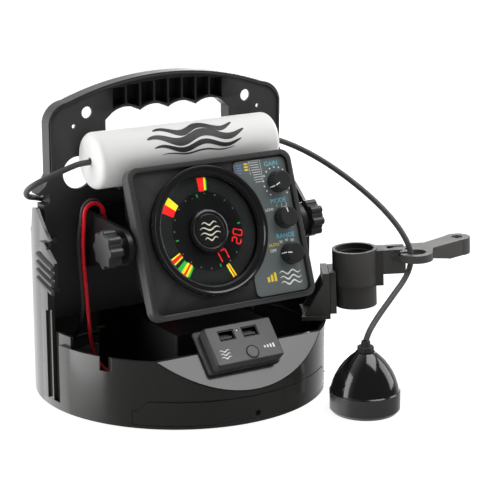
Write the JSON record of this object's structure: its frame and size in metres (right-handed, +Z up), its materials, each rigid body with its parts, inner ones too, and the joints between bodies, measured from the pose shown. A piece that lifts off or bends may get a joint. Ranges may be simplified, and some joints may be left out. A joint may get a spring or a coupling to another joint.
{
  "type": "fish finder",
  "caption": "Flasher sonar display on a tilting bracket in a round carrying case, with float, transducer, rod holder arm, charging box and cords.",
  "frame": {"origin": "centre of the round case's base, on the surface it stands on", "axes": "+X to the user's right, towards the transducer arm; -Y towards the user, out of the display; +Z up"},
  "size_m": [0.3949, 0.3214, 0.2855],
  "materials": {
    "case_black": "polished moulded black",
    "panel_black": "satin moulded black",
    "bracket_black": "fine textured black paint",
    "head_grey": "fine textured dark grey",
    "dial_black": "black",
    "window_clear": "clear smoked window",
    "plate_grey": "printed grey plate",
    "knob_black": "satin black",
    "soft_black": "matt black rubber",
    "steel": "plain steel",
    "brass": "plain brass",
    "inner_grey": "plain",
    "board_green": "solder mask green",
    "usb_grey": "satin grey",
    "usb_metal": "plated",
    "button_black": "grey cap with black ring",
    "led_white": "milky lens",
    "holder_grey": "matt warm dark grey",
    "transducer_black": "polished black",
    "ceramic": "ceramic disc",
    "foam_white": "closed cell white foam",
    "battery_grey": "moulded dark grey",
    "plug_black": "black",
    "cord_black": "black jacket",
    "lead_red": "red jacket"
  },
  "bodies": {
    "case": {"case_base": "case_black", "rear_shell": "case_black", "front_cover": "case_black", "side_rails": "case_black", "rear_panel": "panel_black", "float_cradles": "panel_black", "cord_cleats": "panel_black", "gimbal_bracket": "bracket_black", "rubber_feet": "soft_black", "transducer_strain_relief": "soft_black", "case_screws": "steel", "knob_washers": "steel", "arm_pivot_pin": "steel", "battery_terminals": "brass", "usb_board": "board_green", "usb_box_case": "usb_grey", "usb_box_cover": "usb_grey", "usb_bracket": "usb_grey", "usb_sockets": "usb_metal", "usb_led": "led_white", "rod_mount": "holder_grey", "rod_holder": "holder_grey", "arm_bracket": "holder_grey", "transducer_shell": "transducer_black", "transducer_face": "transducer_black", "transducer_crystal": "ceramic", "battery": "battery_grey", "battery_tray": "battery_grey", "transducer_cord": "cord_black", "head_cord": "cord_black", "cord_hank": "cord_black", "power_lead_black": "cord_black", "power_lead_red": "lead_red"},
    "head": {"head_bezel": "head_grey", "head_gasket": "soft_black", "head_housing": "head_grey", "head_screws": "steel", "dial_ring": "dial_black", "dial_window": "window_clear", "hub_badge": "dial_black", "dial_scale_ring": "dial_black", "disc_motor": "inner_grey", "circuit_board": "board_green", "control_plate": "plate_grey", "potentiometers": "inner_grey", "rear_sockets": "inner_grey", "power_plug": "plug_black", "transducer_plug": "plug_black", "tilt_friction_pads": "soft_black", "tilt_inserts": "brass"},
    "flasher": {"flasher_disc": "dial_black"},
    "gain": {"gain_knob": "knob_black"},
    "mode": {"mode_knob": "knob_black"},
    "range": {"range_knob": "knob_black"},
    "left_clamp": {"tilt_knob_left": "knob_black"},
    "right_clamp": {"tilt_knob_right": "knob_black"},
    "charge_button": {"usb_button": "button_black"},
    "arm": {"transducer_arm": "holder_grey"},
    "float": {"float": "foam_white"}
  },
  "joints": [
    {"name": "head_tilt", "type": "hinge", "parent": "case", "child": "head", "pos_m": [0, -0.05764, 0.1529], "axis": [1, 0, 0], "range_deg": [-2, 45], "deforming": ["head_cord", "power_lead_red", "power_lead_black"]},
    {"name": "left_clamp_turn", "type": "hinge", "parent": "head", "child": "left_clamp", "pos_m": [-0.1, -0.05764, 0.1529], "axis": [1, 0, 0], "range_deg": [-180, 180]},
    {"name": "right_clamp_turn", "type": "hinge", "parent": "head", "child": "right_clamp", "pos_m": [0.1, -0.05764, 0.1529], "axis": [1, 0, 0], "range_deg": [-180, 180]},
    {"name": "flasher_spin", "type": "hinge", "parent": "head", "child": "flasher", "pos_m": [-0.0115, -0.06178, 0.15608], "axis": [0, -0.9348, 0.3551], "continuous": true},
    {"name": "gain_turn", "type": "hinge", "parent": "head", "child": "gain", "pos_m": [0.065, -0.06391, 0.19272], "axis": [0, -0.9348, 0.3551], "range_deg": [-140, 140]},
    {"name": "mode_turn", "type": "hinge", "parent": "head", "child": "mode", "pos_m": [0.065, -0.07545, 0.16234], "axis": [0, -0.9348, 0.3551], "range_deg": [-45, 45]},
    {"name": "range_turn", "type": "hinge", "parent": "head", "child": "range", "pos_m": [0.0645, -0.08699, 0.13196], "axis": [0, -0.9348, 0.3551], "range_deg": [-60, 60]},
    {"name": "charge_button_press", "type": "slide", "parent": "case", "child": "charge_button", "axis": [0, 0.7193, -0.6947], "range_m": [0, 0.0015], "stiffness_N_per_m": 400, "springref_m": -0.0005},
    {"name": "arm_fold", "type": "hinge", "parent": "case", "child": "arm", "pos_m": [0.16981, -0.09804, 0.11823], "axis": [-0.5, -0.866, 0], "range_deg": [0, 90], "deforming": ["transducer_cord"]},
    {"name": "float_shift", "type": "slide", "parent": "case", "child": "float", "axis": [1, 0, 0], "range_m": [-0.005, 0.005]}
  ]
}
